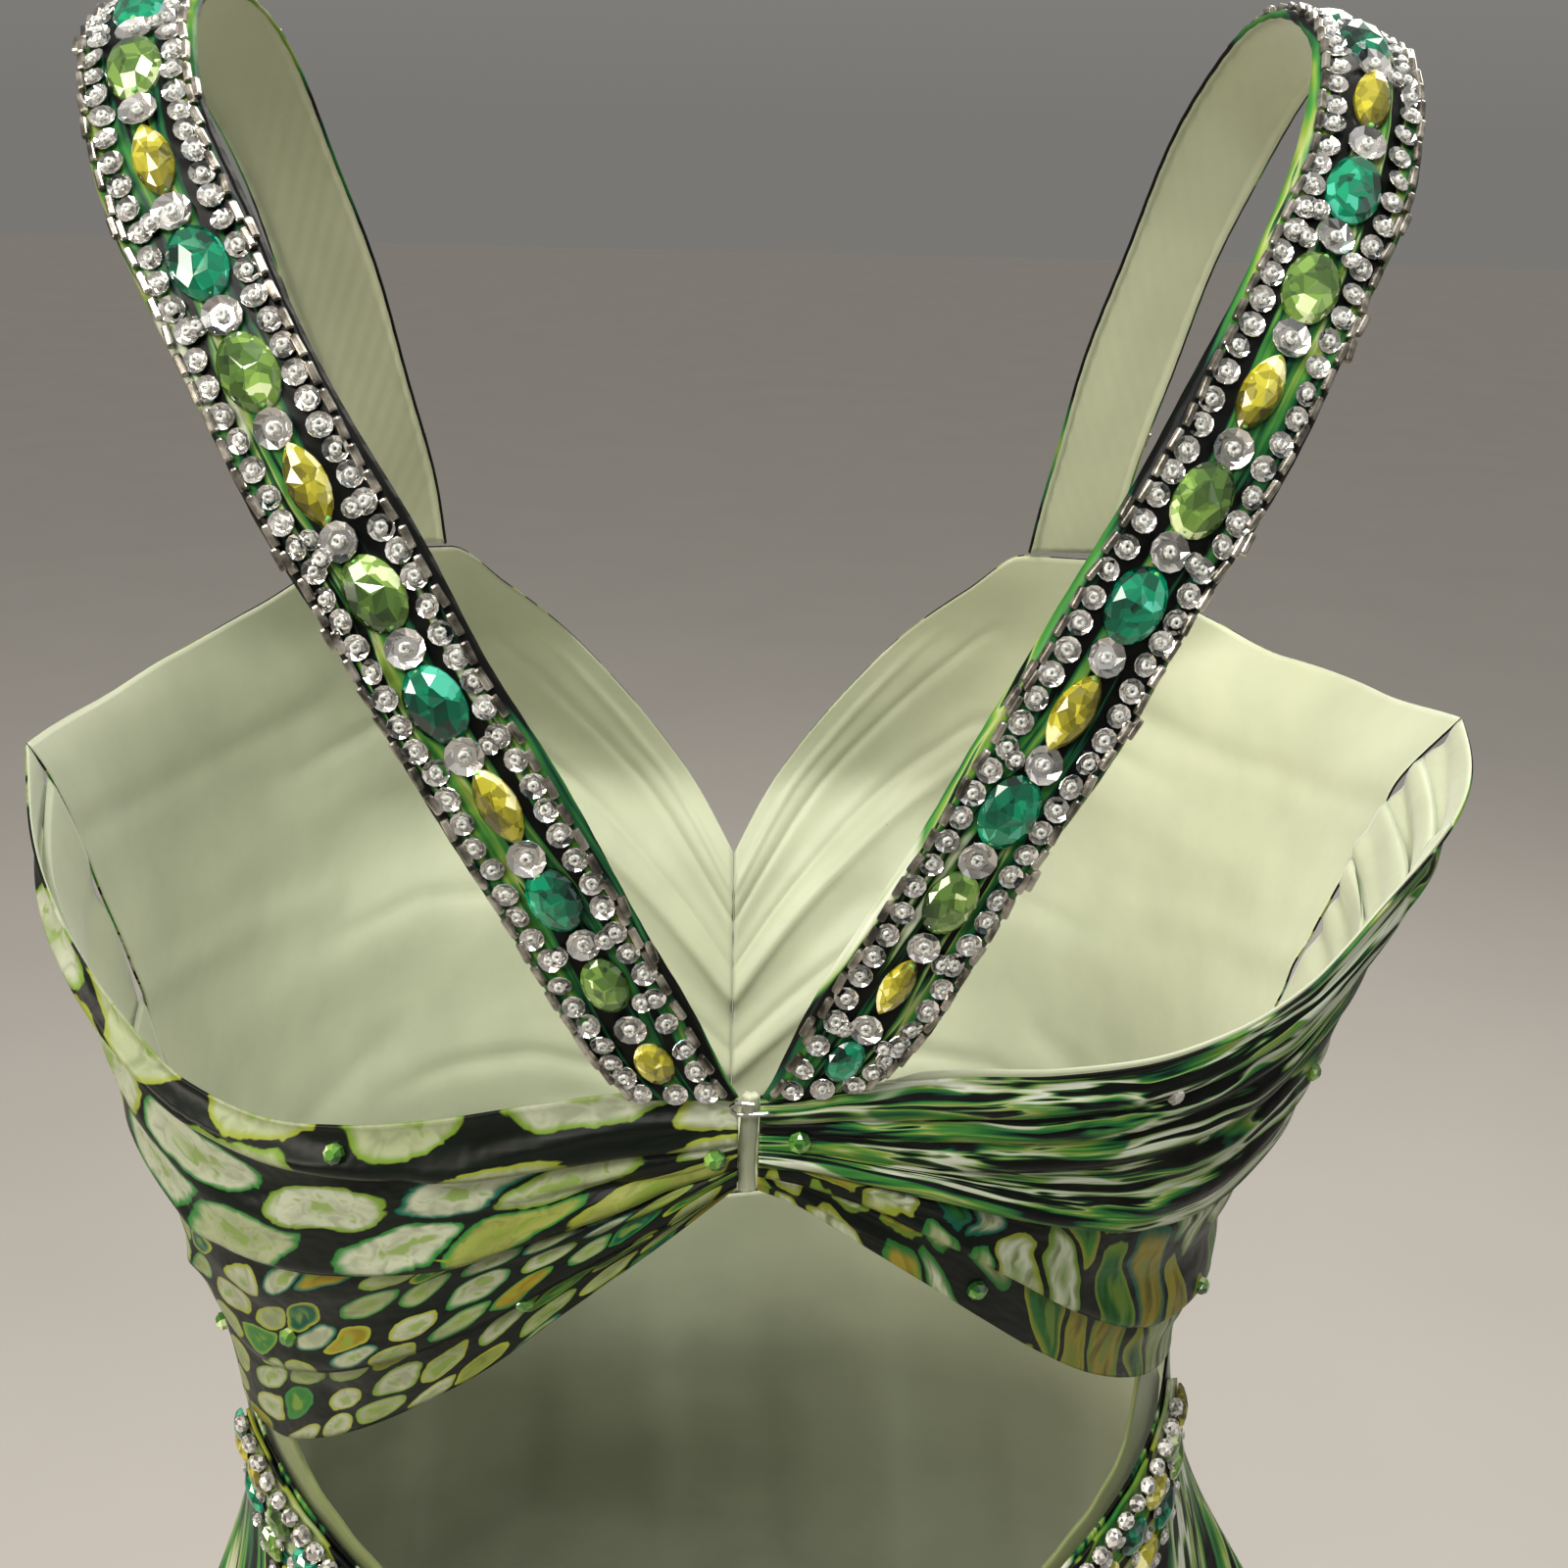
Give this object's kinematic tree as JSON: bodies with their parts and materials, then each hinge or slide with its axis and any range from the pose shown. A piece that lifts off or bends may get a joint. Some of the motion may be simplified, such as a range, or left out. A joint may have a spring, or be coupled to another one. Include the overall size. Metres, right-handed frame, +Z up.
{
  "type": "beaded open-back formal gown",
  "caption": "Floor-length open-back gown with beaded shoulder straps, pleated back bands and a beaded rounded back opening, held hollow as worn.",
  "frame": {"origin": "midway between the tops of the two shoulder straps, on their undersides", "axes": "+Z up, +Y behind the wearer, +X towards the wearer's left"},
  "size_m": [0.6749, 0.5307, 1.4053],
  "materials": {
    "printed_satin": "soft satin with a printed pattern",
    "beaded_strap": "printed cloth covered in sewn beads",
    "green_tab": "soft satin",
    "olive_lining": "soft satin lining",
    "hook_wire": "bright wire",
    "acrylic_emerald": "faceted",
    "acrylic_peridot": "faceted",
    "acrylic_citrine": "faceted",
    "crystal_bead": "faceted clear",
    "silver_sequin": "bright with a faint rainbow",
    "bugle_bead": "silver-lined glass"
  },
  "bodies": {
    "root": {"strap_left": "beaded_strap", "strap_right": "beaded_strap", "back_band_left": "printed_satin", "back_band_right": "printed_satin", "closure_tab": "green_tab", "closure_hook": "hook_wire", "bodice_front_left": "printed_satin", "bodice_front_right": "printed_satin", "skirt_back": "printed_satin", "skirt_front": "printed_satin", "opening_facing_left": "olive_lining", "opening_facing_right": "olive_lining", "opening_trim_left": "beaded_strap", "opening_trim_right": "beaded_strap"}
  },
  "joints": []
}
